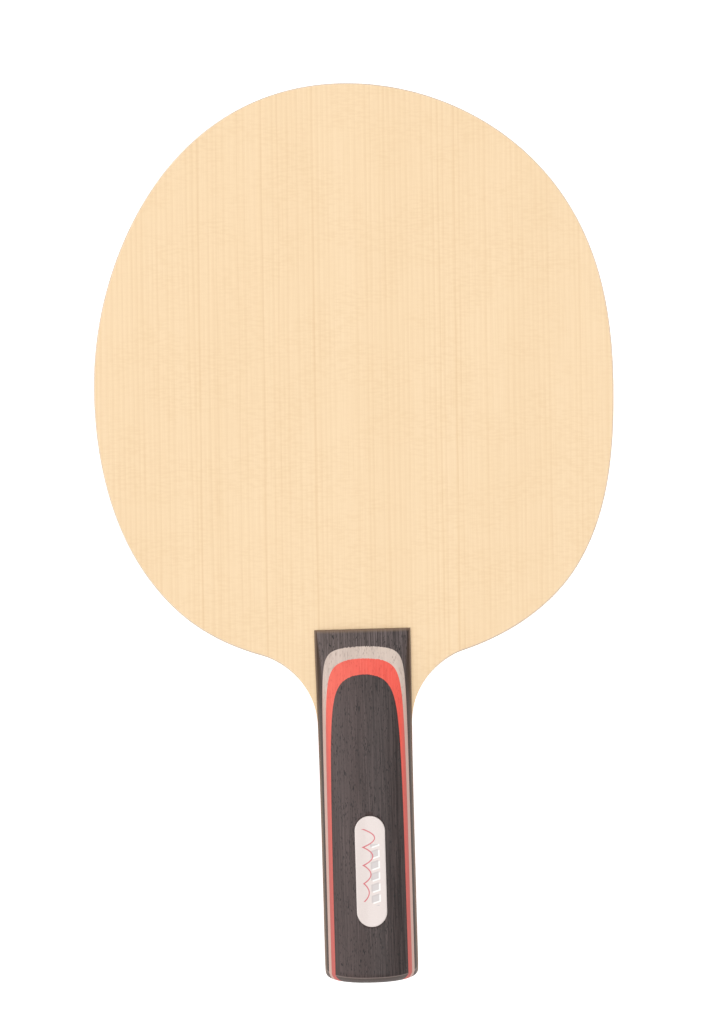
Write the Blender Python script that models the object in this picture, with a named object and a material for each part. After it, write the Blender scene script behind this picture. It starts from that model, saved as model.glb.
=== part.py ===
"""Table tennis blade with a straight handle, as the separate veneers it is glued up from.

Seven thin plies make the blade: two faces, two fibre layers, two inner plies and a core.
Their tongue runs the whole length of the handle. A shaped scale of four dyed plies sits on
each side of the tongue, and a small nameplate lies in a milled pocket in the front scale.

Everything is modelled about the throat: the middle of the handle's head end, on the blade's
mid-plane, with +Y towards the toe of the head and +Z out of the front face. The frame empty
then moves the whole blade so that the origin is below the middle of its bounding box, level
with the crown of the back scale.
"""

import math

import bmesh
import bpy
from mathutils import Vector
from mathutils.geometry import interpolate_bezier

MM = 0.001

# Blade, in plan. The head is 157 x 150 mm, the usual size of an attacking blade.
HEAD_LENGTH = 157.5 * MM
HEAD_HALF_WIDTH = 75.0 * MM
WIDEST_Y = 70.0 * MM
TOE_HANDLE = 40.0 * MM
WIDEST_HANDLE_UP = 55.5 * MM
WIDEST_HANDLE_DOWN = 43.6 * MM
SHOULDER = Vector((29.0, -7.0)) * MM
SHOULDER_SLOPE = math.radians(17.0)
SHOULDER_HANDLE_UP = 31.8 * MM
SHOULDER_HANDLE_DOWN = 6.5 * MM
NECK_Y = -28.0 * MM
NECK_HANDLE = 12.0 * MM

# Blade, in thickness, from the front face to the core. The back repeats it in reverse.
OUTER_PLY = 0.6 * MM
FIBRE_PLY = 0.2 * MM
INNER_PLY = 0.8 * MM
CORE_PLY = 2.7 * MM
GLUE_LINE = 0.05 * MM
BLADE_HALF = CORE_PLY / 2 + 3 * GLUE_LINE + INNER_PLY + FIBRE_PLY + OUTER_PLY

# Handle, in plan. It flares a little where it meets the head.
HANDLE_LENGTH = 101.3 * MM
HANDLE_HALF_WIDTH = 13.4 * MM
HANDLE_FLARE = 0.45 * MM
FLARE_LENGTH = 28.0 * MM
BUTT_DEPTH = 4.8 * MM
BUTT_POWER = 2.4
BUTT_ROUNDNESS = 5.0

# Handle, in section: half an ellipse about the mid-plane, blended into a ramp that sinks to a
# low step at the head end.
CROWN_HEIGHT = 11.5 * MM
ARCH_HALF_WIDTH = 14.05 * MM
FOOT_HEIGHT = 0.5 * MM
RAMP_STEP = 1.49 * MM
RAMP_SLOPE = 0.253
RAMP_CURVE = 29.0
BUTT_EASE_LENGTH = 1.45 * MM
BUTT_EASE_DROP = 2.6 * MM
BUTT_EASE_SHARE = 0.7

# Handle scale, in thickness, from the blade outwards. The top ply takes what is left.
SCALE_PLIES = (("base", 2.37 * MM), ("grey_ply", 0.88 * MM), ("red_ply", 1.06 * MM), ("top", 4.5 * MM))

# Nameplate, with its long axis along the handle, and its pocket.
PLATE_CENTRE = Vector((0.5, -69.3)) * MM
PLATE_WIDTH = 8.7 * MM
PLATE_LENGTH = 31.8 * MM
PLATE_UNDERSIDE = 9.8 * MM
PLATE_PROUD = 0.15 * MM
POCKET_CLEARANCE = 0.3 * MM

# How finely the curves are faceted.
HEAD_STEPS = 17
SHOULDER_STEPS = 13
NECK_STEPS = 9
BUTT_STEPS = 9
ARCH_STEPS = 14
RAMP_ROWS = 11
RAMP_ROWS_SHARE = 0.33
BODY_ROWS = 5
EASE_ROWS = 3
PLATE_ARC_STEPS = 12

# Colour, roughness and metallic value of each material.
MATERIALS = {
    "pale_wood": ((0.93, 0.74, 0.47), 0.60, 0.0),
    "inner_wood": ((0.80, 0.62, 0.40), 0.70, 0.0),
    "core_wood": ((0.86, 0.70, 0.48), 0.75, 0.0),
    "fibre": ((0.05, 0.05, 0.06), 0.45, 0.0),
    "black_wood": ((0.08, 0.07, 0.07), 0.55, 0.0),
    "grey_wood": ((0.58, 0.52, 0.48), 0.60, 0.0),
    "red_wood": ((0.90, 0.12, 0.08), 0.55, 0.0),
    "plate": ((0.86, 0.80, 0.77), 0.25, 0.0),
}


def clear_scene():
    for scene_object in list(bpy.data.objects):
        bpy.data.objects.remove(scene_object, do_unlink=True)


def new_collection(name):
    collection = bpy.data.collections.new(name)
    bpy.context.scene.collection.children.link(collection)
    return collection


def make_material(name):
    colour, roughness, metallic = MATERIALS[name]
    material = bpy.data.materials.new(name)
    material.use_nodes = True
    shader = material.node_tree.nodes["Principled BSDF"]
    shader.inputs["Base Color"].default_value = (*colour, 1.0)
    shader.inputs["Roughness"].default_value = roughness
    shader.inputs["Metallic"].default_value = metallic
    material.diffuse_color = (*colour, 1.0)
    return material


def add_object(name, data, collection, parent, material_name=None):
    new_object = bpy.data.objects.new(name, data)
    collection.objects.link(new_object)
    new_object.parent = parent
    if material_name:
        data.materials.append(make_material(material_name))
    return new_object


def hide_cutter(cutter):
    cutter.hide_render = True
    cutter.display_type = "WIRE"


def butt_edge(x):
    """Where the butt ends at a distance x from the handle's centre line."""
    reach = max(1.0 - (abs(x) / HANDLE_HALF_WIDTH) ** BUTT_POWER, 0.0)
    return -(HANDLE_LENGTH - BUTT_DEPTH) - BUTT_DEPTH * reach ** (1.0 / BUTT_ROUNDNESS)


def handle_half_width(y):
    """Half the handle's width where it stands on the blade."""
    return HANDLE_HALF_WIDTH + HANDLE_FLARE * math.exp(-(y / FLARE_LENGTH) ** 2)


def half_outline():
    """The blade's right edge, from the toe round to just short of the middle of the butt."""
    along_shoulder = Vector((math.cos(SHOULDER_SLOPE), math.sin(SHOULDER_SLOPE)))
    toe = Vector((0.0, HEAD_LENGTH))
    widest = Vector((HEAD_HALF_WIDTH, WIDEST_Y))
    neck = Vector((handle_half_width(NECK_Y), NECK_Y))
    curves = (
        (toe, Vector((TOE_HANDLE, HEAD_LENGTH)),
         widest + Vector((0.0, WIDEST_HANDLE_UP)), widest, HEAD_STEPS),
        (widest, widest - Vector((0.0, WIDEST_HANDLE_DOWN)),
         SHOULDER + along_shoulder * SHOULDER_HANDLE_UP, SHOULDER, SHOULDER_STEPS),
        (SHOULDER, SHOULDER - along_shoulder * SHOULDER_HANDLE_DOWN,
         neck + Vector((0.0, NECK_HANDLE)), neck, NECK_STEPS),
    )
    points = []
    for start, start_handle, end_handle, end, steps in curves:
        points += [p.to_2d() for p in interpolate_bezier(start, start_handle, end_handle, end, steps + 1)[:-1]]
    points.append(neck)
    for step in range(BUTT_STEPS, 0, -1):
        x = HANDLE_HALF_WIDTH * math.sin(math.pi / 2 * step / BUTT_STEPS)
        points.append(Vector((x, butt_edge(x))))
    return points


def flat_curve(name, points, thickness):
    """A filled flat outline, extruded to both sides of its own plane."""
    curve = bpy.data.curves.new(name, "CURVE")
    curve.dimensions = "2D"
    curve.fill_mode = "BOTH"
    curve.extrude = thickness / 2
    spline = curve.splines.new("POLY")
    spline.points.add(len(points) - 1)
    for spline_point, (x, y) in zip(spline.points, points):
        spline_point.co = (x, y, 0.0, 1.0)
    spline.use_cyclic_u = True
    return curve


def curve_to_mesh(curve_object, collection):
    """Replaces a curve object by a closed mesh object of the same name and place."""
    depsgraph = bpy.context.evaluated_depsgraph_get()
    name = curve_object.name
    matrix = curve_object.matrix_world.copy()
    mesh = bpy.data.meshes.new_from_object(curve_object.evaluated_get(depsgraph))
    bpy.data.objects.remove(curve_object, do_unlink=True)
    welded = bmesh.new()
    welded.from_mesh(mesh)
    bmesh.ops.remove_doubles(welded, verts=welded.verts, dist=1e-6)
    welded.to_mesh(mesh)
    welded.free()
    mesh_object = bpy.data.objects.new(name, mesh)
    mesh_object.matrix_world = matrix
    collection.objects.link(mesh_object)
    return mesh_object


def make_blade(collection, frame):
    """The seven plies, which share one outline and differ in thickness."""
    right = half_outline()
    left = [Vector((-p.x, p.y)) for p in reversed(right[1:])]
    butt = [Vector((0.0, butt_edge(0.0)))]
    outline = right + butt + left
    half_stack = (
        ("inner_ply", INNER_PLY, "inner_wood"),
        ("fibre_ply", FIBRE_PLY, "fibre"),
        ("outer_ply", OUTER_PLY, "pale_wood"),
    )
    add_object("core_ply", flat_curve("core_ply", outline, CORE_PLY), collection, frame, "core_wood")
    lower_face = CORE_PLY / 2
    for ply, thickness, material_name in half_stack:
        lower_face += GLUE_LINE
        for side, sign in (("front", 1), ("back", -1)):
            name = f"{side}_{ply}"
            curve = flat_curve(name, outline, thickness)
            veneer = add_object(name, curve, collection, frame, material_name)
            veneer.location.z = sign * (lower_face + thickness / 2)
        lower_face += thickness


def scale_height(x, y):
    """Height of a handle scale's surface above the blade's mid-plane."""
    ramp = RAMP_STEP - RAMP_SLOPE * y + RAMP_CURVE * y * y
    ellipse = CROWN_HEIGHT * math.sqrt(1.0 - (x / ARCH_HALF_WIDTH) ** 2)
    arch = max(ellipse - BLADE_HALF, FOOT_HEIGHT)
    surface = ramp * arch / (ramp + arch)
    to_butt = min((y - butt_edge(x)) / BUTT_EASE_LENGTH, 1.0)
    ease = 1.0 - math.sqrt(1.0 - (1.0 - to_butt) ** 2)
    drop = 1.0 / (1.0 / BUTT_EASE_DROP + 1.0 / (BUTT_EASE_SHARE * surface))
    return BLADE_HALF + surface - drop * ease


def scale_rows():
    """Distances along the handle, as shares of its length, close together where it curves most."""
    rows = [RAMP_ROWS_SHARE * (row / RAMP_ROWS) ** 1.3 for row in range(RAMP_ROWS)]
    ease_start = 1.0 - BUTT_EASE_LENGTH / HANDLE_LENGTH
    span = ease_start - RAMP_ROWS_SHARE
    rows += [RAMP_ROWS_SHARE + span * row / BODY_ROWS for row in range(BODY_ROWS)]
    rows += [
        ease_start + (1.0 - ease_start) * math.sin(math.pi / 2 * row / EASE_ROWS)
        for row in range(EASE_ROWS + 1)
    ]
    return rows


def make_scale_form():
    """The closed outer shape of one handle scale: a grid laid over its plan and closed below."""
    rows = scale_rows()
    form = bmesh.new()
    bmesh.ops.create_grid(form, x_segments=ARCH_STEPS, y_segments=len(rows) - 1, size=0.5)
    for vertex in form.verts:
        across = math.sin(math.pi * vertex.co.x)
        row = round((0.5 - vertex.co.y) * (len(rows) - 1))
        y = rows[row] * butt_edge(across * HANDLE_HALF_WIDTH)
        x = across * handle_half_width(y)
        edge = butt_edge(min(max(x, -HANDLE_HALF_WIDTH), HANDLE_HALF_WIDTH))
        vertex.co = (x, y, scale_height(x, max(y, edge)))
    rim = [edge for edge in form.edges if edge.is_boundary]
    walls = bmesh.ops.extrude_edge_only(form, edges=rim)["geom"]
    floor_edges = [part for part in walls if isinstance(part, bmesh.types.BMEdge) and part.is_boundary]
    for part in walls:
        if isinstance(part, bmesh.types.BMVert):
            part.co.z = 0.0
    bmesh.ops.contextual_create(form, geom=floor_edges)
    bmesh.ops.recalc_face_normals(form, faces=form.faces)
    mesh = bpy.data.meshes.new("scale_form")
    form.to_mesh(mesh)
    form.free()
    return mesh


def make_slab(name, lower, upper, cutters, frame):
    """A flat block wider and longer than the handle, between two heights above the mid-plane."""
    slab = bmesh.new()
    bmesh.ops.create_cube(slab, size=1.0)
    bmesh.ops.scale(slab, verts=slab.verts, vec=(0.05, 2 * HANDLE_LENGTH, upper - lower))
    mesh = bpy.data.meshes.new(name)
    slab.to_mesh(mesh)
    slab.free()
    slab_object = add_object(name, mesh, cutters, frame)
    slab_object.location.z = (lower + upper) / 2
    hide_cutter(slab_object)
    return slab_object


def add_boolean(target, cutter, operation):
    modifier = target.modifiers.new(f"{operation.lower()}_{cutter.name}", "BOOLEAN")
    modifier.operation = operation
    modifier.solver = "EXACT"
    modifier.object = cutter


def make_scales(collection, cutters, frame):
    """Both handle scales. The back one is the front one turned over about the handle's axis."""
    materials = {"base": "black_wood", "grey_ply": "grey_wood", "red_ply": "red_wood", "top": "black_wood"}
    form = make_scale_form()
    back_frame = add_object("back_scale_frame", None, collection, frame)
    back_frame.rotation_euler.y = math.pi
    front_top = None
    for side, parent in (("front", frame), ("back", back_frame)):
        lower_face = BLADE_HALF
        for ply, thickness in SCALE_PLIES:
            lower_face += GLUE_LINE
            name = f"{side}_handle_{ply}"
            slab = make_slab(f"{name}_slab", lower_face, lower_face + thickness, cutters, parent)
            veneer = add_object(name, form.copy(), collection, parent, materials[ply])
            add_boolean(veneer, slab, "INTERSECT")
            lower_face += thickness
            if name == "front_handle_top":
                front_top = veneer
    return front_top, form


def stadium(width, length):
    """A slot outline with round ends, along Y."""
    radius = width / 2
    straight = length / 2 - radius
    points = []
    for end in (1, -1):
        for step in range(PLATE_ARC_STEPS + 1):
            angle = math.pi * step / PLATE_ARC_STEPS
            points.append(end * Vector((radius * math.cos(angle), straight + radius * math.sin(angle))))
    return points


def make_stadium_block(name, clearance, lower, collection, frame):
    """An upright block of the nameplate's outline, from a given height to above the handle."""
    upper = CROWN_HEIGHT + 2 * PLATE_PROUD
    points = stadium(PLATE_WIDTH + 2 * clearance, PLATE_LENGTH + 2 * clearance)
    block = add_object(name, flat_curve(name, points, upper - lower), collection, None)
    block = curve_to_mesh(block, collection)
    block.parent = frame
    block.location = (*PLATE_CENTRE, (lower + upper) / 2)
    return block


def make_nameplate(collection, cutters, frame, front_top, form):
    """The nameplate's top follows the crown of the handle and stands just proud of it."""
    pocket = make_stadium_block("nameplate_pocket", POCKET_CLEARANCE,
                                PLATE_UNDERSIDE - POCKET_CLEARANCE, cutters, frame)
    hide_cutter(pocket)
    add_boolean(front_top, pocket, "DIFFERENCE")
    crown = add_object("nameplate_crown", form.copy(), cutters, frame)
    crown.location.z = PLATE_PROUD
    hide_cutter(crown)
    plate = make_stadium_block("nameplate", 0.0, PLATE_UNDERSIDE, collection, frame)
    plate.data.materials.append(make_material("plate"))
    add_boolean(plate, crown, "INTERSECT")


def main():
    clear_scene()
    parts = new_collection("table_tennis_blade")
    cutters = new_collection("cutters")
    frame = add_object("blade_frame", None, parts, None)
    make_blade(parts, frame)
    front_top, form = make_scales(parts, cutters, frame)
    make_nameplate(parts, cutters, frame, front_top, form)
    for mesh in bpy.data.meshes:
        mesh.shade_smooth()
        mesh.set_sharp_from_angle(angle=math.radians(30))
    crown = max(vertex.co.z for vertex in form.vertices)
    frame.location = (0.0, (HANDLE_LENGTH - HEAD_LENGTH) / 2, crown)


main()
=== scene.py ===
"""Finished surfaces for the table tennis blade: every ply and the nameplate, at full smoothness.

Each piece stands for the CAD node of the same place and keeps to its height and outline. The
formulas for the outline and for the handle's surface are those of the CAD model, written about
the throat: the middle of the handle's head end, on the blade's mid-plane, +Y towards the toe.
"""

import math

import bmesh
import bpy
from mathutils import Matrix, Vector, noise
from mathutils.geometry import interpolate_bezier


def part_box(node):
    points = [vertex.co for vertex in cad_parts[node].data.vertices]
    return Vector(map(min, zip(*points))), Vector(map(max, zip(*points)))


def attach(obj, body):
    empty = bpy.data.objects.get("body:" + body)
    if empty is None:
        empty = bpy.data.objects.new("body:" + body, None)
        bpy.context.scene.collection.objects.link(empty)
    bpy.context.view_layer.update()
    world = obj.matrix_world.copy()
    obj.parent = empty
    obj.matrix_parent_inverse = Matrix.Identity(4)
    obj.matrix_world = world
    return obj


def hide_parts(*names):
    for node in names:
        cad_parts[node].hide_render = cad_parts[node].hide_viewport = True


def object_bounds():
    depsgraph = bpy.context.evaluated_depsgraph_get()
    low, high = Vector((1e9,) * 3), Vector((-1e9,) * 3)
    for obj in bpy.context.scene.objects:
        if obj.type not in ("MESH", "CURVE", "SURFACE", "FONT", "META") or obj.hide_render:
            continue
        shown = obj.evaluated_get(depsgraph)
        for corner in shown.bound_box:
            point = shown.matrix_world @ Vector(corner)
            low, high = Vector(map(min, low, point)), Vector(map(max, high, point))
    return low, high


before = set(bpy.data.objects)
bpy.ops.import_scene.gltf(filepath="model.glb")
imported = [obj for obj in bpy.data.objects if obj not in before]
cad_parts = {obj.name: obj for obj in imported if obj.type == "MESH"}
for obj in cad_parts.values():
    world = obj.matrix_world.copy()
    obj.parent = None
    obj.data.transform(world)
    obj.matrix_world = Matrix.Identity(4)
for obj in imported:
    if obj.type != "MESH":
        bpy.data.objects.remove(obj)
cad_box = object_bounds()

MM = 0.001

# Places that come from the frame.
CORE_LOW, CORE_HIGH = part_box("core_ply")
BASE_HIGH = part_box("front_handle_base")[1]
PLATE_LOW, PLATE_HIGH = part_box("nameplate")
MID_Z = (CORE_LOW.z + CORE_HIGH.z) / 2
THROAT = Vector((0.0, BASE_HIGH.y, MID_Z))
BLADE_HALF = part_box("front_outer_ply")[1].z - MID_Z
HEAD_LENGTH = CORE_HIGH.y - THROAT.y
HEAD_HALF_WIDTH = CORE_HIGH.x
HANDLE_LENGTH = THROAT.y - CORE_LOW.y
PLATE_CENTRE = ((PLATE_LOW + PLATE_HIGH) / 2 - THROAT).to_2d()
PLATE_WIDTH = PLATE_HIGH.x - PLATE_LOW.x
PLATE_LENGTH = PLATE_HIGH.y - PLATE_LOW.y


def joint_height(lower, upper):
    """Height above the mid-plane of the glued joint between two pieces of the front half."""
    return (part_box(lower)[1].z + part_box(upper)[0].z) / 2 - MID_Z


CORE_TOP = joint_height("core_ply", "front_inner_ply")
INNER_TOP = joint_height("front_inner_ply", "front_fibre_ply")
FIBRE_TOP = joint_height("front_fibre_ply", "front_outer_ply")
BASE_TOP = joint_height("front_handle_base", "front_handle_grey_ply")
GREY_TOP = joint_height("front_handle_grey_ply", "front_handle_red_ply")
RED_TOP = joint_height("front_handle_red_ply", "front_handle_top")

# Blade outline.
WIDEST_Y = 70.0 * MM
TOE_HANDLE = 40.0 * MM
WIDEST_HANDLE_UP = 55.5 * MM
WIDEST_HANDLE_DOWN = 43.6 * MM
SHOULDER = Vector((29.0, -7.0)) * MM
SHOULDER_SLOPE = math.radians(17.0)
SHOULDER_HANDLE_UP = 31.8 * MM
SHOULDER_HANDLE_DOWN = 6.5 * MM
NECK_Y = -28.0 * MM
NECK_HANDLE = 12.0 * MM
HEAD_STEPS = 90
SHOULDER_STEPS = 60
NECK_STEPS = 40
TONGUE_STEPS = 12
BUTT_STEPS = 60

# The head is cut and sanded by hand, so its edge strays a little from the true outline.
EDGE_STRAY = 0.5 * MM
EDGE_LOBES = 4.55
EDGE_STRAY_CENTRE = 78.0 * MM
EDGE_STRAY_START = -8.0 * MM
EDGE_STRAY_RISE = 25.0 * MM

# The rim is sanded round: it draws in from the middle plies towards both faces.
RIM_STRAIGHT = 1.5 * MM
RIM_INSET = 0.45 * MM
RIM_FADE_START = -24.0 * MM
RIM_FADE_RISE = 20.0 * MM
RIM_RINGS = 7

# Handle outline and section.
HANDLE_HALF_WIDTH = 13.4 * MM
HANDLE_FLARE = 0.45 * MM
FLARE_LENGTH = 28.0 * MM
BUTT_DEPTH = 4.8 * MM
BUTT_POWER = 2.4
BUTT_ROUNDNESS = 5.0
CROWN_HEIGHT = 11.5 * MM
ARCH_HALF_WIDTH = 14.05 * MM
FOOT_HEIGHT = 0.5 * MM
RAMP_STEP = 1.49 * MM
RAMP_SLOPE = 0.253
RAMP_CURVE = 29.0
BUTT_EASE_LENGTH = 1.45 * MM
BUTT_EASE_DROP = 2.6 * MM
BUTT_EASE_SHARE = 0.7
BUTT_EASE_BREAK = 0.6
HEAD_EASE_LENGTH = 0.3 * MM
HEAD_EASE_DROP = 0.2 * MM

# The plies of a handle scale from the blade up: each one's name, slot, material, and the height
# and wander of its upper joint. On the ramp the joints wander a little from fibre to fibre.
SCALE_PLIES = (
    ("base", "black_wood", "base_wood", BASE_TOP, 0.1 * MM),
    ("grey_ply", "grey_wood", "grey_wood", GREY_TOP, 0.06 * MM),
    ("red_ply", "red_wood", "red_wood", RED_TOP, 0.03 * MM),
    ("top", "black_wood", "top_wood", None, 0.0),
)

# The waves' width and length, and where and over what distance they fade out towards the flanks.
JOINT_WANDER_ACROSS = 0.3 * MM
JOINT_WANDER_ALONG = 5.0 * MM
JOINT_WANDER_FADE = 4.0 * MM
CUT_TOLERANCE = 1e-7

# Rows and columns of the handle's surface.
ARCH_COLUMNS = 220
RAMP_ROWS = 110
RAMP_ROW_POWER = 1.6
RAMP_LENGTH = 38.0 * MM
BODY_ROWS = 40
EASE_ROWS = 24

# Nameplate.
PLATE_PROUD = 0.12 * MM
PLATE_EDGE = 0.22 * MM
POCKET_GAP = 0.07 * MM
POCKET_FLOOR_GAP = 0.15 * MM
PLATE_INNERMOST_RADIUS = 0.05 * MM
PLATE_ARC_STEPS = 40
PLATE_SIDE_STEPS = 24
PLATE_EDGE_RINGS = 6
PLATE_RINGS = 14

SIDES = (("front", 1.0), ("back", -1.0))

# Plate print, in millimetres from the plate's centre: across to the right, along towards the butt.
BOUNCE_START = -12.2
BOUNCE_STEP = 5.2
BOUNCE_COUNT = 4
BOUNCE_HEIGHT = 3.4
BOUNCE_LOSS = 0.65
BOUNCE_FLOOR = -2.1
BOUNCE_LINE = 0.26
BAR_CENTRE = 1.1
BAR_LENGTH = 2.1
BAR_STEP = 3.2
BAR_SHARE = 0.6
BAR_SLANT = 0.3
BAR_ROW_CENTRE = 1.0
BAR_ROW_LENGTH = 17.6

# Growth lines of the face wood, and the places of its few lean years, in millimetres.
YEAR_WIDTH = 1.5
YEAR_WANDER = 2.4
LEAN_YEARS = (-45.3, -40.1, -34.0, -27.0, -22.3, -12.3, 24.1, 28.6, 30.1)
LEAN_YEAR_WANDER = 1.2
LEAN_YEAR_HALF_WIDTH = 0.06
LEAN_YEAR_FADE = 0.3
PALE_GRAIN_SLANT = math.radians(0.8)

# How far each part of its figure turns the face wood towards the tone of its late wood.
YEAR_SHARE = 0.25
LEAN_YEAR_SHARE = 0.26
FIBRE_SHARE = 0.22
CLOUD_SHARE = 0.08
RIPPLE_SHARE = 0.2

# How far slow bands and end grain turn the dyed veneers towards the tone of their pores.
DYED_BAND_SHARE = 0.2
DYED_END_SHARE = 0.35

# Light, floor and camera.
WORLD_STRENGTH = 0.6
SOFTBOXES = (
    ("left_softbox", Vector((-1.15, 0.16, 1.1)), (0.8, 1.4), 7.6),
    ("top_softbox", Vector((0.0, 0.96, 1.28)), (1.2, 0.8), 2.4),
    ("high_softbox", Vector((0.4, -0.1, 1.5)), (1.0, 1.0), 6.0),
)
FLOOR_HALF_SIZE = 3.0
FLOOR_SEGMENTS = 8
FLOOR_SLOPE_STEPS = 100
FLOOR_GAP = 0.05 * MM
FLOOR_GLOW = 0.6
CAMERA_LENS = 150.0
VIEW_HEIGHT = 295.1 * MM
VIEW_CENTRE = Vector((-2.0, 33.76)) * MM
VIEW_TURN = math.radians(1.62)


def smooth_rise(value, start, rise):
    """Rises smoothly from 0 to 1 as a value goes from a start over a distance."""
    share = min(max((value - start) / rise, 0.0), 1.0)
    return share * share * (3.0 - 2.0 * share)


def butt_edge(x):
    """Where the butt ends at a distance x from the handle's centre line."""
    reach = max(1.0 - (abs(x) / HANDLE_HALF_WIDTH) ** BUTT_POWER, 0.0)
    return -(HANDLE_LENGTH - BUTT_DEPTH) - BUTT_DEPTH * reach ** (1.0 / BUTT_ROUNDNESS)


def handle_half_width(y):
    """Half the handle's width where it stands on the blade."""
    return HANDLE_HALF_WIDTH + HANDLE_FLARE * math.exp(-(y / FLARE_LENGTH) ** 2)


def right_edge():
    """The blade's right edge, from the toe round to just short of the middle of the butt."""
    along_shoulder = Vector((math.cos(SHOULDER_SLOPE), math.sin(SHOULDER_SLOPE)))
    toe = Vector((0.0, HEAD_LENGTH))
    widest = Vector((HEAD_HALF_WIDTH, WIDEST_Y))
    neck = Vector((handle_half_width(NECK_Y), NECK_Y))
    curves = (
        (toe, Vector((TOE_HANDLE, HEAD_LENGTH)),
         widest + Vector((0.0, WIDEST_HANDLE_UP)), widest, HEAD_STEPS),
        (widest, widest - Vector((0.0, WIDEST_HANDLE_DOWN)),
         SHOULDER + along_shoulder * SHOULDER_HANDLE_UP, SHOULDER, SHOULDER_STEPS),
        (SHOULDER, SHOULDER - along_shoulder * SHOULDER_HANDLE_DOWN,
         neck + Vector((0.0, NECK_HANDLE)), neck, NECK_STEPS),
    )
    points = []
    for *control_points, steps in curves:
        points += [point.to_2d() for point in interpolate_bezier(*control_points, steps + 1)[:-1]]
    butt_corner = butt_edge(HANDLE_HALF_WIDTH)
    for step in range(TONGUE_STEPS):
        y = NECK_Y + (butt_corner - NECK_Y) * step / TONGUE_STEPS
        points.append(Vector((handle_half_width(y), y)))
    for step in range(BUTT_STEPS, 0, -1):
        x = HANDLE_HALF_WIDTH * math.sin(math.pi / 2 * step / BUTT_STEPS)
        points.append(Vector((x, butt_edge(x))))
    return points


def outward_normals(outline):
    """Unit normals of a closed clockwise outline, one for each point."""
    normals = []
    for index in range(len(outline)):
        along = outline[(index + 1) % len(outline)] - outline[index - 1]
        normals.append(Vector((-along.y, along.x)).normalized())
    return normals


def edge_stray(point):
    """How far the sanded edge stands proud of the true outline, at a point of the outline."""
    turn = math.atan2(point.x, point.y - EDGE_STRAY_CENTRE)
    share = smooth_rise(point.y, EDGE_STRAY_START, EDGE_STRAY_RISE)
    return -EDGE_STRAY * math.sin(EDGE_LOBES * turn) * share


def blade_outline():
    """The whole edge of the blade, clockwise from the toe."""
    right = right_edge()
    left = [Vector((-p.x, p.y)) for p in reversed(right[1:])]
    outline = right + [Vector((0.0, butt_edge(0.0)))] + left
    return [point + normal * edge_stray(point) for point, normal in zip(outline, outward_normals(outline))]


def to_mesh(name, form):
    """Turns a bmesh that was built about the throat into a smooth mesh in its place."""
    bmesh.ops.recalc_face_normals(form, faces=form.faces)
    mesh = bpy.data.meshes.new(name)
    form.to_mesh(mesh)
    form.free()
    mesh.transform(Matrix.Translation(THROAT))
    mesh.shade_smooth()
    return mesh


def add_piece(node, mesh, material):
    """Adds a finished piece in place of the CAD node that it stands for."""
    piece = bpy.data.objects.new(f"{node}_finished", mesh)
    bpy.context.scene.collection.objects.link(piece)
    mesh.materials.append(material)
    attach(piece, "root")
    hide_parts(node)
    return piece


def mark_sharp(faces):
    for face in faces:
        for edge in face.edges:
            edge.smooth = False


def stack_rings(rings):
    """A closed form from rings with equal numbers of points, the lowest first."""
    form = bmesh.new()
    rows = [[form.verts.new(point) for point in ring] for ring in rings]
    for lower, upper in zip(rows, rows[1:]):
        for index in range(len(lower)):
            form.faces.new((lower[index - 1], upper[index - 1], upper[index], lower[index]))
    mark_sharp((form.faces.new(rows[0]), form.faces.new(rows[-1])))
    return form


def rim_inset(height):
    """How far the rim has drawn in at a height above or below the mid-plane."""
    share = max(abs(height) - RIM_STRAIGHT, 0.0) / (BLADE_HALF - RIM_STRAIGHT)
    return RIM_INSET * (1.0 - math.sqrt(max(1.0 - share * share, 0.0)))


def rim_point(point, normal, height):
    """The rim is round on the head and square where the handle's scales cover it."""
    inset = rim_inset(height) * smooth_rise(point.y, RIM_FADE_START, RIM_FADE_RISE)
    return (*(point - normal * inset), height)


def make_ply(node, low, high, material):
    """One ply of the blade, between two heights, with its share of the round rim."""
    outline = blade_outline()
    normals = outward_normals(outline)
    heights = [low + (high - low) * step / (RIM_RINGS - 1) for step in range(RIM_RINGS)]
    rings = [[rim_point(*edge, height) for edge in zip(outline, normals)] for height in heights]
    add_piece(node, to_mesh(node, stack_rings(rings)), material)


def make_blade(materials):
    """The core, and on each side of it an inner ply, a fibre ply and a face ply."""
    make_ply("core_ply", -CORE_TOP, CORE_TOP, materials["core_wood"])
    for side, sign in SIDES:
        low = CORE_TOP
        for ply, slot, high in (("inner_ply", "inner_wood", INNER_TOP),
                                ("fibre_ply", "fibre", FIBRE_TOP),
                                ("outer_ply", "pale_wood", BLADE_HALF)):
            lower, upper = sorted((sign * low, sign * high))
            make_ply(f"{side}_{ply}", lower, upper, materials[slot])
            low = high


def quarter_round(share):
    """Falls from 1 at share 0 to 0 at share 1, along a quarter circle that ends level."""
    return 1.0 - math.sqrt(1.0 - (1.0 - share) ** 2)


def butt_ease(x, y):
    """The butt's sanded edge, from 0 where it starts, with a slight break, to 1 at the butt."""
    share = min(max((y - butt_edge(x)) / BUTT_EASE_LENGTH, 0.0), 1.0)
    return BUTT_EASE_BREAK * (1.0 - share) + (1.0 - BUTT_EASE_BREAK) * quarter_round(share)


def head_ease(y):
    """The sharp head end has a hair's breadth of rounding, from 0 where it starts to 1."""
    return quarter_round(min(max(-y, 0.0) / HEAD_EASE_LENGTH, 1.0))


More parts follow.
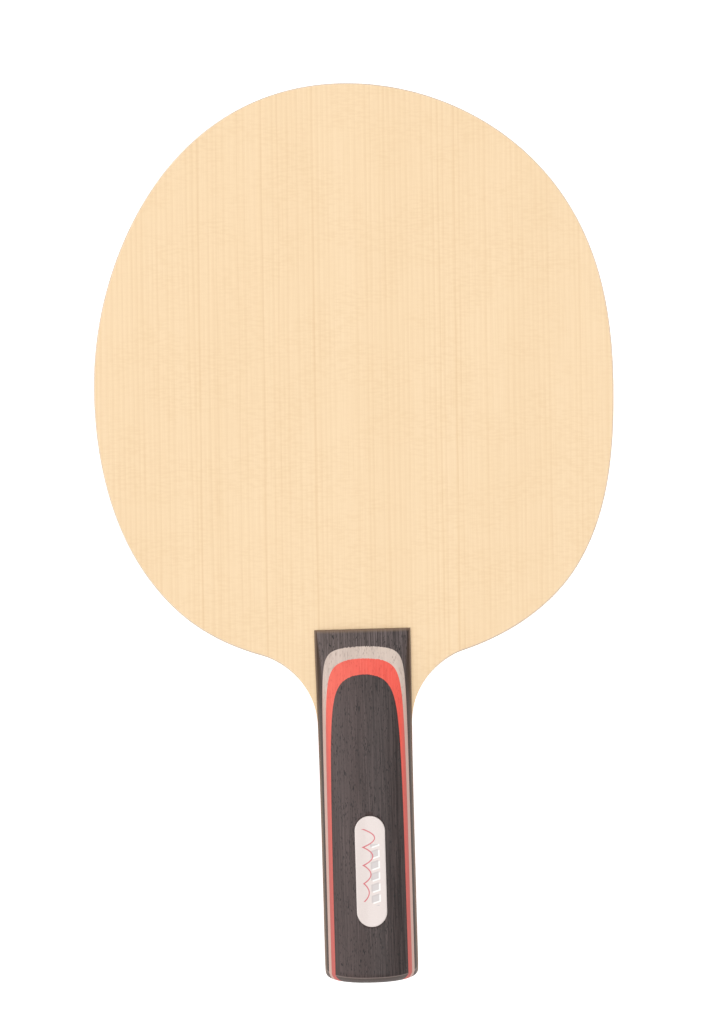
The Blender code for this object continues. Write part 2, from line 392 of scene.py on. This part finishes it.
def scale_height(x, y):
    """Height of a handle scale's surface above the blade's mid-plane."""
    ramp = RAMP_STEP - RAMP_SLOPE * y + RAMP_CURVE * y * y
    ellipse = CROWN_HEIGHT * math.sqrt(1.0 - (x / ARCH_HALF_WIDTH) ** 2)
    arch = max(ellipse - BLADE_HALF, FOOT_HEIGHT)
    surface = ramp * arch / (ramp + arch)
    butt_drop = 1.0 / (1.0 / BUTT_EASE_DROP + 1.0 / (BUTT_EASE_SHARE * surface))
    return BLADE_HALF + surface - butt_drop * butt_ease(x, y) - HEAD_EASE_DROP * head_ease(y)


def scale_rows():
    """Distances along the handle, as shares of its length, close together where it curves most."""
    rows = [RAMP_LENGTH * (row / RAMP_ROWS) ** RAMP_ROW_POWER for row in range(RAMP_ROWS)]
    body_end = HANDLE_LENGTH - BUTT_EASE_LENGTH
    rows += [RAMP_LENGTH + (body_end - RAMP_LENGTH) * row / BODY_ROWS for row in range(BODY_ROWS)]
    rows += [
        body_end + BUTT_EASE_LENGTH * math.sin(math.pi / 2 * row / EASE_ROWS)
        for row in range(EASE_ROWS + 1)
    ]
    return [row / HANDLE_LENGTH for row in rows]


def make_scale_form():
    """The closed outer shape of one handle scale, from the blade's face upwards."""
    rows = scale_rows()
    form = bmesh.new()
    bmesh.ops.create_grid(form, x_segments=ARCH_COLUMNS, y_segments=len(rows) - 1, size=0.5)
    # The rim is taken in order round the grid, so that the walls come out the same each run.
    rim = [vertex for vertex in form.verts if vertex.is_boundary]
    rim.sort(key=lambda vertex: math.atan2(vertex.co.y, vertex.co.x))
    for vertex in form.verts:
        across = math.sin(math.pi * vertex.co.x)
        row = round((0.5 - vertex.co.y) * (len(rows) - 1))
        y = rows[row] * butt_edge(across * HANDLE_HALF_WIDTH)
        x = across * handle_half_width(y)
        vertex.co = (x, y, scale_height(x, max(y, butt_edge(x))))
    for edge in form.edges:
        edge.smooth = not edge.is_boundary
    foot = [form.verts.new((*vertex.co.xy, BLADE_HALF)) for vertex in rim]
    for index in range(len(rim)):
        form.faces.new((rim[index - 1], rim[index], foot[index], foot[index - 1]))
    mark_sharp([form.faces.new(foot)])
    bmesh.ops.recalc_face_normals(form, faces=form.faces)
    return form


def joint_wander(point, seed):
    """How far a glued joint strays from its even height at a place in plan, as a share from -1 to 1."""
    across = point.x / JOINT_WANDER_ACROSS
    along = point.y / JOINT_WANDER_ALONG
    share = 1.0 - smooth_rise(abs(point.x), JOINT_WANDER_FADE, JOINT_WANDER_FADE)
    return share * noise.noise(Vector((across, along, seed)))


def cut_level(form, height, keep_above):
    """Cuts a form level at a height and closes the cut."""
    cut = bmesh.ops.bisect_plane(
        form, geom=form.verts[:] + form.edges[:] + form.faces[:], dist=CUT_TOLERANCE,
        plane_co=(0.0, 0.0, height), plane_no=(0.0, 0.0, 1.0),
        clear_inner=keep_above, clear_outer=not keep_above)["geom_cut"]
    edges = [part for part in cut if isinstance(part, bmesh.types.BMEdge)]
    mark_sharp(bmesh.ops.contextual_create(form, geom=edges)["faces"])


def cut_joint(form, height, wander, seed, keep_above):
    """Cuts a form along a glued joint that wanders about a height."""
    for vertex in form.verts:
        vertex.co.z -= wander * joint_wander(vertex.co, seed)
    cut_level(form, height, keep_above)
    for vertex in form.verts:
        vertex.co.z += wander * joint_wander(vertex.co, seed)


def make_scales(materials):
    """Both handle scales. The back one is the front one turned over about the handle's axis."""
    pieces = {}
    for side, sign in SIDES:
        rest = make_scale_form()
        for ply, slot, material, joint, wander in SCALE_PLIES:
            form = rest.copy()
            if joint:
                cut_joint(form, joint, wander, seed=sign, keep_above=False)
                cut_joint(rest, joint, wander, seed=sign, keep_above=True)
            if sign < 0.0:
                form.transform(Matrix.Rotation(math.pi, 4, "Y"))
            node = f"{side}_handle_{ply}"
            pieces[node] = add_piece(node, to_mesh(node, form), materials[material])
        rest.free()
    return pieces


def mark_distances(mesh):
    """Stores how far in millimetres each vertex is from the scale's long edges and its two ends."""
    from_side = mesh.attributes.new("from_side", "FLOAT", "POINT")
    from_head = mesh.attributes.new("from_head", "FLOAT", "POINT")
    from_butt = mesh.attributes.new("from_butt", "FLOAT", "POINT")
    for index, vertex in enumerate(mesh.vertices):
        x, y = (vertex.co - THROAT).xy
        from_side.data[index].value = (handle_half_width(y) - abs(x)) / MM
        from_head.data[index].value = -y / MM
        from_butt.data[index].value = (y - butt_edge(x)) / MM


def stadium(inset, margin=0.0):
    """The nameplate's outline about its centre, drawn in by an amount or widened by a margin."""
    radius = PLATE_WIDTH / 2 - inset + margin
    straight = (PLATE_LENGTH - PLATE_WIDTH) / 2
    points = []
    for end in (1, -1):
        for step in range(PLATE_ARC_STEPS):
            angle = math.pi * step / PLATE_ARC_STEPS
            points.append(end * Vector((radius * math.cos(angle), straight + radius * math.sin(angle))))
        for step in range(PLATE_SIDE_STEPS):
            y = straight * (1.0 - 2.0 * step / PLATE_SIDE_STEPS)
            points.append(end * Vector((-radius, y)))
    return [PLATE_CENTRE + point for point in points]


def plate_ring(inset, drop):
    """A ring of points on the nameplate's top, which follows the crown of the handle."""
    return [(*point, scale_height(*point) + PLATE_PROUD - drop) for point in stadium(inset)]


def make_nameplate(materials):
    """A thin plate with a rounded edge that fills its pocket and stands just proud of it."""
    underside = PLATE_LOW.z - MID_Z
    rings = [[(*point, underside) for point in stadium(0.0)]]
    for step in range(PLATE_EDGE_RINGS + 1):
        angle = math.pi / 2 * step / PLATE_EDGE_RINGS
        rings.append(plate_ring(PLATE_EDGE * (1.0 - math.cos(angle)), PLATE_EDGE * (1.0 - math.sin(angle))))
    middle = PLATE_WIDTH / 2 - PLATE_INNERMOST_RADIUS
    for step in range(1, PLATE_RINGS + 1):
        rings.append(plate_ring(PLATE_EDGE + (middle - PLATE_EDGE) * step / PLATE_RINGS, 0.0))
    form = stack_rings(rings)
    add_piece("nameplate", to_mesh("nameplate", form), materials["plate"])


def cut_pocket(front_top):
    """Mills the nameplate's pocket into the front scale's top ply."""
    floor = PLATE_LOW.z - MID_Z - POCKET_FLOOR_GAP
    outline = stadium(0.0, POCKET_GAP)
    rings = [[(*point, height) for point in outline] for height in (floor, CROWN_HEIGHT + PLATE_EDGE)]
    cutter = bpy.data.objects.new("pocket_cutter", to_mesh("pocket_cutter", stack_rings(rings)))
    bpy.context.scene.collection.objects.link(cutter)
    modifier = front_top.modifiers.new("pocket", "BOOLEAN")
    modifier.operation = "DIFFERENCE"
    modifier.solver = "EXACT"
    modifier.object = cutter
    depsgraph = bpy.context.evaluated_depsgraph_get()
    mesh = bpy.data.meshes.new_from_object(front_top.evaluated_get(depsgraph))
    front_top.modifiers.clear()
    front_top.data = mesh
    bpy.data.objects.remove(cutter, do_unlink=True)


class Nodes:
    """A material and its node tree, with a short way to add nodes and join them."""

    def __init__(self, name):
        self.material = bpy.data.materials.new(name)
        self.material.use_nodes = True
        self.tree = self.material.node_tree
        self.shader = self.tree.nodes["Principled BSDF"]

    def put(self, socket, value):
        if isinstance(value, bpy.types.NodeSocket):
            self.tree.links.new(value, socket)
        else:
            socket.default_value = value

    def add(self, kind, inputs, output=0, **settings):
        node = self.tree.nodes.new(kind)
        for name, value in settings.items():
            setattr(node, name, value)
        for socket, value in inputs.items():
            self.put(node.inputs[socket], value)
        return node.outputs[output]

    def surface(self, inputs):
        """Sets the shader's own inputs by name."""
        for name, value in inputs.items():
            self.put(self.shader.inputs[name], value)

    def maths(self, operation, first, second=0.0, third=0.0):
        return self.add("ShaderNodeMath", {0: first, 1: second, 2: third}, operation=operation)

    def product(self, first, *others):
        for other in others:
            first = self.maths("MULTIPLY", first, other)
        return first

    def attribute(self, name):
        """A number that the mesh stores at each of its vertices."""
        return self.add("ShaderNodeAttribute", {}, output="Fac", attribute_name=name)

    def millimetres(self, slant=0.0):
        """The object's own coordinates in millimetres, turned about the blade's normal."""
        place = self.add("ShaderNodeTexCoord", {}, output="Object")
        return self.add("ShaderNodeMapping", {
            "Vector": place, "Scale": (1 / MM, 1 / MM, 1 / MM), "Rotation": (0.0, 0.0, slant)})

    def axis(self, place, name):
        return self.add("ShaderNodeSeparateXYZ", {0: place}, output=name)

    def end_grain(self):
        """0 on faces that run along the grain, 1 on faces square to it."""
        facing = self.add("ShaderNodeNewGeometry", {}, output="Normal")
        return self.between(self.maths("ABSOLUTE", self.axis(facing, "Y")), 0.6, 0.95)

    def steepness(self):
        """0 on faces that lie nearly level, 1 on steep ones, such as the handle's flanks."""
        facing = self.add("ShaderNodeNewGeometry", {}, output="Normal")
        return self.between(self.maths("ABSOLUTE", self.axis(facing, "Z")), 0.68, 0.86, 1.0, 0.0)

    def noise(self, place, across, along, through=None, seed=0.0, detail=2.0, roughness=0.5):
        """Noise with features of a given width, length and depth in millimetres, about 0 to 1."""
        stretched = self.add("ShaderNodeMapping", {
            "Vector": place, "Scale": (1 / across, 1 / along, 1 / (through or across)),
            "Location": (3.7 * seed, 6.3 * seed, 8.9 * seed)})
        return self.add("ShaderNodeTexNoise", {
            "Vector": stretched, "Scale": 1.0, "Detail": detail, "Roughness": roughness})

    def between(self, value, low, high, to_low=0.0, to_high=1.0):
        """Maps a range smoothly onto another, clamped."""
        return self.add("ShaderNodeMapRange", {
            "Value": value, "From Min": low, "From Max": high, "To Min": to_low, "To Max": to_high},
            interpolation_type="SMOOTHSTEP")

    def band(self, value, middle, half_width, soft):
        """1 within a half width of a middle value, falling softly to 0 outside."""
        away = self.maths("ABSOLUTE", self.maths("SUBTRACT", value, middle))
        return self.between(away, half_width, half_width + soft, 1.0, 0.0)

    def mix(self, share, first, second):
        """Mixes two colours."""
        return self.add("ShaderNodeMix", {0: share, 6: first, 7: second}, output=2, data_type="RGBA")

    def bump(self, height, depth):
        """A normal from a height between 0 and 1 that stands for a depth in metres."""
        return self.add("ShaderNodeBump", {"Height": height, "Distance": depth, "Strength": 1.0})


def colour(red, green, blue):
    """A colour from its sRGB values out of 255."""
    shares = [value / 255 for value in (red, green, blue)]
    linear = [s / 12.92 if s <= 0.04045 else ((s + 0.055) / 1.055) ** 2.4 for s in shares]
    return (*linear, 1.0)


# The face wood, its late wood, and the painted shade on its sanded rim along and across the grain.
PALE_LIGHT = colour(249, 221, 182)
PALE_LINE = colour(228, 192, 144)
PALE_RIM_SHADE = colour(222, 202, 184)
PALE_END_RIM_SHADE = colour(196, 180, 166)

# The inner plies, the core, and the threads of the fibre layer.
INNER_LIGHT = colour(214, 178, 134)
INNER_DARK = colour(178, 136, 92)
CORE_LIGHT = colour(232, 204, 160)
CORE_DARK = colour(206, 172, 122)
FIBRE_DARK = colour(24, 24, 27)
FIBRE_LIGHT = colour(66, 66, 70)

# The dyed veneers. Each drifts from its left tone to its right one, 10 mm either side of the middle. The
# left and right tones are painted light and shade across the handle: a painted sheen on the left of the
# dark and red veneers, painted shade on their right, and the grey one a little darker on the left. The tone
# for steep faces is one tone painted for how the flanks are lit.
PAINTED_SHADING_SPAN = 10.0
BASE_TONES = {
    "left": colour(80, 67, 63),
    "right": colour(45, 34, 32),
    "streak": colour(124, 109, 107),
    "pore": colour(16, 11, 10),
    "painted_shading": colour(59, 42, 34),
}
GREY_TONES = {
    "left": colour(207, 187, 175),
    "right": colour(213, 194, 180),
    "streak": colour(224, 208, 198),
    "pore": colour(142, 120, 110),
    "painted_shading": colour(199, 165, 153),
}
RED_TONES = {
    "left": colour(240, 105, 89),
    "right": colour(241, 84, 69),
    "streak": colour(250, 120, 104),
    "pore": colour(206, 66, 56),
    "painted_shading": colour(194, 99, 92),
}
TOP_TONES = {
    "left": colour(77, 62, 60),
    "right": colour(36, 24, 22),
    "streak": colour(98, 83, 81),
    "pore": colour(14, 10, 9),
    "painted_shading": colour(62, 49, 46),
}

# Painted light and shade on the handle scales, in millimetres from their edges: brown painted shade along
# the long edges and the head end, painted light on the butt's eased band, and a painted highlight on the
# butt's break line, partly where the dye is sanded through.
EDGE_SHADE_BROWN = colour(132, 106, 82)
EDGE_SHADE_SHARE = 0.75
EDGE_SHADE_START = 0.1
SIDE_SHADE_END = 0.8
HEAD_SHADE_END = 1.3
BUTT_LIT_AND_WORN = colour(140, 124, 117)
BUTT_BAND_LIGHT = 0.2
BUTT_BAND_LIGHT_FADE = 0.3
BUTT_LINE_HIGHLIGHT_AND_WEAR = 0.75
BUTT_LINE_SHIFT = 0.05
BUTT_LINE_HALF_WIDTH = 0.06
BUTT_LINE_FADE = 0.16

# The nameplate's two pearly tones, its print, and the white of a painted highlight beside the printed bars.
PEARL_DARK = colour(225, 211, 206)
PEARL_LIGHT = colour(234, 222, 217)
PLATE_GREY = colour(198, 189, 188)
PLATE_BAR_HIGHLIGHT = colour(255, 253, 251)
PLATE_RED = colour(208, 38, 66)
PRINT_SHARE = 0.8
BAR_HIGHLIGHT_SHIFT = 0.45

FLOOR_DARK = colour(243, 243, 243)
FLOOR_LIGHT = colour(246, 246, 246)


def growth_lines(wood, across, place):
    """Dark late wood at the end of every year's growth: 0 between the lines, up to 1 in them."""
    shift = wood.noise(place, 6.0, 260.0, seed=4.0, detail=1.0)
    moved = wood.maths("MULTIPLY_ADD", shift, YEAR_WANDER, across)
    years = wood.maths("DIVIDE", moved, YEAR_WIDTH)
    share = wood.maths("FRACT", years)
    late = wood.product(wood.between(share, 0.2, 0.75), wood.between(share, 0.82, 1.0, 1.0, 0.0))
    vigour = wood.add("ShaderNodeTexWhiteNoise", {"W": wood.maths("FLOOR", years)}, noise_dimensions="1D")
    return wood.product(late, wood.between(vigour, 0.0, 1.0, 0.3, 1.0))


def lean_years(wood, across, place):
    """The few lean years whose late wood shows as a thin, darker line."""
    drift = wood.noise(place, 4.0, 45.0, seed=52.0, detail=2.0)
    start = wood.maths("SUBTRACT", across, LEAN_YEAR_WANDER / 2)
    moved = wood.maths("MULTIPLY_ADD", drift, LEAN_YEAR_WANDER, start)
    lines = 0.0
    for x in LEAN_YEARS:
        line = wood.band(moved, x, LEAN_YEAR_HALF_WIDTH, LEAN_YEAR_FADE)
        lines = wood.maths("MAXIMUM", lines, line)
    return wood.product(lines, wood.between(wood.noise(place, 3.0, 24.0, seed=57.0), 0.3, 0.55, 0.35, 1.0))


def pale_wood():
    """Quarter-sawn softwood: growth lines, fine fibres, a faint ripple, and painted grey shade on its
    sanded rim.
    """
    wood = Nodes("pale_wood")
    place = wood.millimetres(PALE_GRAIN_SLANT)
    across = wood.axis(place, "X")
    lines = growth_lines(wood, across, place)
    fibres = wood.noise(place, 0.2, 18.0, seed=11.0, detail=3.0, roughness=0.6)
    ripple = wood.noise(place, 2.6, 0.62, seed=23.0, detail=1.0)
    rippled = wood.between(wood.noise(place, 16.0, 14.0, seed=41.0), 0.36, 0.6, 0.25, 1.0)
    clouds = wood.noise(place, 14.0, 120.0, seed=31.0, detail=1.0)
    ripples = wood.product(wood.between(ripple, 0.38, 0.68, 0.0, RIPPLE_SHARE), rippled)
    tone = wood.mix(wood.product(lines, YEAR_SHARE), PALE_LIGHT, PALE_LINE)
    tone = wood.mix(wood.product(lean_years(wood, across, place), LEAN_YEAR_SHARE), tone, PALE_LINE)
    tone = wood.mix(wood.between(fibres, 0.3, 0.75, 0.0, FIBRE_SHARE), tone, PALE_LINE)
    tone = wood.mix(wood.between(clouds, 0.3, 0.7, 0.0, CLOUD_SHARE), tone, PALE_LINE)
    tone = wood.mix(ripples, tone, PALE_LINE)
    # Painted shade: steep rim faces are painted greyer, and greyer still across the grain.
    tone = wood.mix(wood.steepness(), tone, wood.mix(wood.end_grain(), PALE_RIM_SHADE, PALE_END_RIM_SHADE))
    relief = wood.maths("MULTIPLY_ADD", fibres, 0.5, wood.product(lines, -0.5))
    wood.surface({
        "Base Color": tone,
        "Roughness": wood.between(fibres, 0.3, 0.7, 0.5, 0.62),
        "Specular IOR Level": 0.35,
        "Normal": wood.bump(relief, 0.012 * MM),
    })
    return wood.material


def plain_wood(name, light, dark, across_grain):
    """An inner ply: soft wood whose pores show as dots on its ends and dashes along its sides."""
    wood = Nodes(name)
    place = wood.millimetres(math.pi / 2 if across_grain else 0.0)
    pores = wood.between(wood.noise(place, 0.16, 3.0, seed=7.0, detail=2.0), 0.55, 0.72)
    fibres = wood.noise(place, 0.3, 16.0, seed=17.0, detail=3.0)
    tone = wood.mix(wood.between(fibres, 0.3, 0.7, 0.0, 0.6), light, dark)
    tone = wood.mix(wood.product(pores, 0.7), tone, dark)
    wood.surface({
        "Base Color": tone,
        "Roughness": wood.between(fibres, 0.3, 0.7, 0.6, 0.75),
        "Specular IOR Level": 0.3,
        "Normal": wood.bump(wood.maths("SUBTRACT", fibres, pores), 0.02 * MM),
    })
    return wood.material


def fibre():
    """The woven fibre layer: its cut edge is a dark line of fine threads."""
    cloth = Nodes("fibre")
    place = cloth.millimetres()
    threads = cloth.noise(place, 0.5, 0.5, through=0.06, seed=3.0, detail=2.0)
    cloth.surface({
        "Base Color": cloth.mix(threads, FIBRE_DARK, FIBRE_LIGHT),
        "Roughness": cloth.between(threads, 0.3, 0.7, 0.35, 0.55),
        "Normal": cloth.bump(threads, 0.02 * MM),
    })
    return cloth.material


def edge_shading_and_wear(wood, tone):
    """Brown painted shade a hair's breadth in from the scale's edges, painted light on the butt's band, and
    a painted highlight on its break line, partly sanded-through dye.
    """
    from_side = wood.attribute("from_side")
    from_head = wood.attribute("from_head")
    from_butt = wood.attribute("from_butt")
    # Brown painted shade a hair's breadth in from the long edges and the head end.
    side = wood.between(from_side, EDGE_SHADE_START, SIDE_SHADE_END, EDGE_SHADE_SHARE, 0.0)
    head = wood.between(from_head, EDGE_SHADE_START, HEAD_SHADE_END, EDGE_SHADE_SHARE, 0.0)
    tone = wood.mix(wood.maths("MAXIMUM", side, head), tone, EDGE_SHADE_BROWN)
    ease = BUTT_EASE_LENGTH / MM
    # Painted light: the butt's eased band is painted lighter, as if lit from below.
    painted_shading = wood.between(from_butt, ease - BUTT_BAND_LIGHT_FADE, ease, BUTT_BAND_LIGHT, 0.0)
    tone = wood.mix(painted_shading, tone, BUTT_LIT_AND_WORN)
    # Painted highlight along the butt's break line, partly the dye sanded through to paler wood.
    line = wood.band(from_butt, ease + BUTT_LINE_SHIFT, BUTT_LINE_HALF_WIDTH, BUTT_LINE_FADE)
    return wood.mix(wood.product(line, BUTT_LINE_HIGHLIGHT_AND_WEAR), tone, BUTT_LIT_AND_WORN)


def dyed_wood(name, tones, streak_share, pore_share, roughness, shaded_and_worn_edges=False):
    """A dyed and sealed veneer: paler fibre streaks and short, dark open pores in loose groups."""
    wood = Nodes(name)
    place = wood.millimetres()
    streaks = wood.noise(place, 0.2, 22.0, through=5.0, seed=5.0, detail=4.0, roughness=0.65)
    lines = wood.noise(place, 0.22, 28.0, through=6.0, seed=15.0, detail=2.0)
    bands = wood.noise(place, 2.2, 70.0, seed=9.0, detail=2.0)
    pores = wood.between(wood.noise(place, 0.24, 1.2, through=0.5, seed=13.0, detail=1.0), 0.56, 0.66)
    groups = wood.between(wood.noise(place, 0.9, 6.0, seed=19.0), 0.38, 0.62, 0.1, 1.0)
    pores = wood.product(pores, groups)
    # Painted light and shade: the tone goes from the left one to the right one across the handle.
    drift = wood.between(wood.axis(place, "X"), -PAINTED_SHADING_SPAN, PAINTED_SHADING_SPAN)
    tone = wood.mix(drift, tones["left"], tones["right"])
    tone = wood.mix(wood.between(bands, 0.35, 0.65, 0.0, DYED_BAND_SHARE), tone, tones["pore"])
    tone = wood.mix(wood.between(streaks, 0.38, 0.68, 0.0, streak_share), tone, tones["streak"])
    tone = wood.mix(wood.between(lines, 0.56, 0.68, 0.0, streak_share), tone, tones["streak"])
    tone = wood.mix(wood.product(pores, pore_share), tone, tones["pore"])
    # Painted shade on steep faces such as the flanks: one tone painted for how they are lit.
    tone = wood.mix(wood.steepness(), tone, tones["painted_shading"])
    if shaded_and_worn_edges:
        tone = edge_shading_and_wear(wood, tone)
    tone = wood.mix(wood.product(wood.end_grain(), DYED_END_SHARE), tone, tones["pore"])
    relief = wood.maths("SUBTRACT", wood.product(streaks, 0.5), pores)
    wood.surface({
        "Base Color": tone,
        "Roughness": wood.between(streaks, 0.3, 0.7, roughness, roughness + 0.12),
        "Specular IOR Level": 0.4,
        "Normal": wood.bump(relief, 0.03 * MM),
    })
    return wood.material


def bounce_line(enamel, across, along):
    """The path of a bouncing ball, drawn along the plate as a row of ever lower arches."""
    steps = enamel.maths("DIVIDE", enamel.maths("SUBTRACT", along, BOUNCE_START), BOUNCE_STEP)
    share = enamel.maths("FRACT", steps)
    height = enamel.maths("MULTIPLY_ADD", enamel.maths("FLOOR", steps), -BOUNCE_LOSS, BOUNCE_HEIGHT)
    arch = enamel.product(share, enamel.maths("SUBTRACT", 1.0, share), 4.0, height)
    gradient = enamel.product(enamel.maths("SUBTRACT", 0.5, share), 8.0 / BOUNCE_STEP, height)
    length = enamel.maths("SQRT", enamel.maths("MULTIPLY_ADD", gradient, gradient, 1.0))
    rise = enamel.maths("SUBTRACT", across, BOUNCE_FLOOR)
    away = enamel.maths("DIVIDE", enamel.maths("SUBTRACT", rise, arch), length)
    line = enamel.band(away, 0.0, BOUNCE_LINE / 2, 0.08)
    middle = BOUNCE_START + BOUNCE_COUNT * BOUNCE_STEP / 2
    return enamel.product(line, enamel.band(along, middle, BOUNCE_COUNT * BOUNCE_STEP / 2, 0.05))


def slanted_bars(enamel, across, along, shift):
    """A plain row of slanted bars along the plate, moved sideways by an amount."""
    slanted = enamel.maths("MULTIPLY_ADD", across, BAR_SLANT, along)
    steps = enamel.maths("DIVIDE", enamel.maths("SUBTRACT", slanted, shift), BAR_STEP)
    share = enamel.maths("FRACT", steps)
    bars = enamel.band(share, 0.5, BAR_SHARE / 2, 0.04)
    side = enamel.band(across, BAR_CENTRE + shift, BAR_LENGTH / 2, 0.1)
    return enamel.product(bars, side, enamel.band(along, BAR_ROW_CENTRE, BAR_ROW_LENGTH / 2, 0.1))


def plate():
    """A pearly enamelled plate with a plain print, a red bounce line over soft grey bars, with a painted
    white highlight beside each bar.
    """
    enamel = Nodes("plate")
    place = enamel.millimetres()
    centre = (THROAT.to_2d() + PLATE_CENTRE) / MM
    across = enamel.maths("SUBTRACT", enamel.axis(place, "X"), centre.x)
    along = enamel.maths("SUBTRACT", centre.y, enamel.axis(place, "Y"))
    pearl = enamel.noise(place, 0.4, 0.4, seed=2.0, detail=3.0)
    tone = enamel.mix(pearl, PEARL_DARK, PEARL_LIGHT)
    prints = (
        # Painted highlight: a white copy of the bars, moved sideways, as if light caught raised bars.
        (slanted_bars(enamel, across, along, BAR_HIGHLIGHT_SHIFT), PLATE_BAR_HIGHLIGHT),
        (slanted_bars(enamel, across, along, 0.0), PLATE_GREY),
        (bounce_line(enamel, across, along), PLATE_RED),
    )
    for share, print_tone in prints:
        tone = enamel.mix(enamel.product(share, PRINT_SHARE), tone, print_tone)
    enamel.surface({
        "Base Color": tone,
        "Roughness": enamel.between(pearl, 0.3, 0.7, 0.28, 0.36),
        "Coat Weight": 0.3,
        "Coat Roughness": 0.1,
        "Normal": enamel.bump(pearl, 0.003 * MM),
    })
    return enamel.material


def make_materials():
    return {
        "pale_wood": pale_wood(),
        "inner_wood": plain_wood("inner_wood", INNER_LIGHT, INNER_DARK, across_grain=True),
        "core_wood": plain_wood("core_wood", CORE_LIGHT, CORE_DARK, across_grain=False),
        "fibre": fibre(),
        "base_wood": dyed_wood("base_wood", BASE_TONES, 0.65, 0.95, 0.42, shaded_and_worn_edges=True),
        "top_wood": dyed_wood("top_wood", TOP_TONES, 0.6, 0.9, 0.38, shaded_and_worn_edges=True),
        "grey_wood": dyed_wood("grey_wood", GREY_TONES, 0.5, 0.5, 0.5),
        "red_wood": dyed_wood("red_wood", RED_TONES, 0.45, 0.45, 0.5),
        "plate": plate(),
    }


def floor_slope():
    """Slope of the surface that the back scale's crown and the toe's back edge both rest on."""
    places = [-HANDLE_LENGTH * step / FLOOR_SLOPE_STEPS for step in range(1, FLOOR_SLOPE_STEPS + 1)]
    return max((scale_height(0.0, y) - BLADE_HALF) / (HEAD_LENGTH - y) for y in places)


def make_floor():
    """A pale surface that the blade lies on, touching the handle's crown and the toe."""
    form = bmesh.new()
    bmesh.ops.create_grid(
        form, x_segments=FLOOR_SEGMENTS, y_segments=FLOOR_SEGMENTS, size=FLOOR_HALF_SIZE)
    mesh = bpy.data.meshes.new("floor")
    form.to_mesh(mesh)
    form.free()
    floor = bpy.data.objects.new("floor", mesh)
    bpy.context.scene.collection.objects.link(floor)
    floor.location = THROAT + Vector((0.0, HEAD_LENGTH, -BLADE_HALF - FLOOR_GAP))
    floor.rotation_euler.x = math.atan(floor_slope())
    paper = Nodes("floor")
    fine = paper.noise(paper.millimetres(), 1.5, 1.5, detail=3.0)
    paper.surface({
        "Base Color": paper.mix(fine, FLOOR_DARK, FLOOR_LIGHT),
        "Roughness": 0.9,
        "Specular IOR Level": 0.1,
        "Emission Color": (1.0, 1.0, 1.0, 1.0),
        "Emission Strength": FLOOR_GLOW,
    })
    mesh.materials.append(paper.material)


def make_world():
    """Even white light from all round, and a white background."""
    world = bpy.data.worlds.new("studio")
    bpy.context.scene.world = world
    world.use_nodes = True
    nodes = world.node_tree.nodes
    links = world.node_tree.links
    seen = nodes.new("ShaderNodeLightPath")
    strength = nodes.new("ShaderNodeMapRange")
    strength.inputs["To Min"].default_value = WORLD_STRENGTH
    links.new(seen.outputs["Is Camera Ray"], strength.inputs["Value"])
    background = nodes["Background"]
    background.inputs["Color"].default_value = (1.0, 1.0, 1.0, 1.0)
    links.new(strength.outputs["Result"], background.inputs["Strength"])


def add_softbox(name, place, target, size, power):
    """A rectangular area light that faces a point."""
    light = bpy.data.lights.new(name, "AREA")
    light.shape = "RECTANGLE"
    light.size, light.size_y = size
    light.energy = power
    softbox = bpy.data.objects.new(name, light)
    bpy.context.scene.collection.objects.link(softbox)
    softbox.location = place
    softbox.rotation_euler = (target - place).to_track_quat("-Z", "Y").to_euler()


def make_lights():
    """A tall softbox on the left, one beyond the toe and one high up, a little to the right."""
    middle = (Vector(cad_box[0]) + Vector(cad_box[1])) / 2
    for name, place, size, power in SOFTBOXES:
        add_softbox(name, middle + place, middle, size, power)


def make_camera():
    """Looks straight down on the front face, with the handle a little to the right."""
    camera = bpy.data.cameras.new("camera")
    camera.lens = CAMERA_LENS
    distance = VIEW_HEIGHT * CAMERA_LENS / camera.sensor_width
    camera_object = bpy.data.objects.new("camera", camera)
    bpy.context.scene.collection.objects.link(camera_object)
    camera_object.location = THROAT + Vector((*VIEW_CENTRE, BLADE_HALF + distance))
    camera_object.rotation_euler.z = -VIEW_TURN
    bpy.context.scene.camera = camera_object
    bpy.context.scene.view_settings.view_transform = "Standard"


def main():
    materials = make_materials()
    make_blade(materials)
    pieces = make_scales(materials)
    cut_pocket(pieces["front_handle_top"])
    for piece in pieces.values():
        mark_distances(piece.data)
    make_nameplate(materials)
    make_floor()
    make_world()
    make_lights()
    make_camera()


main()
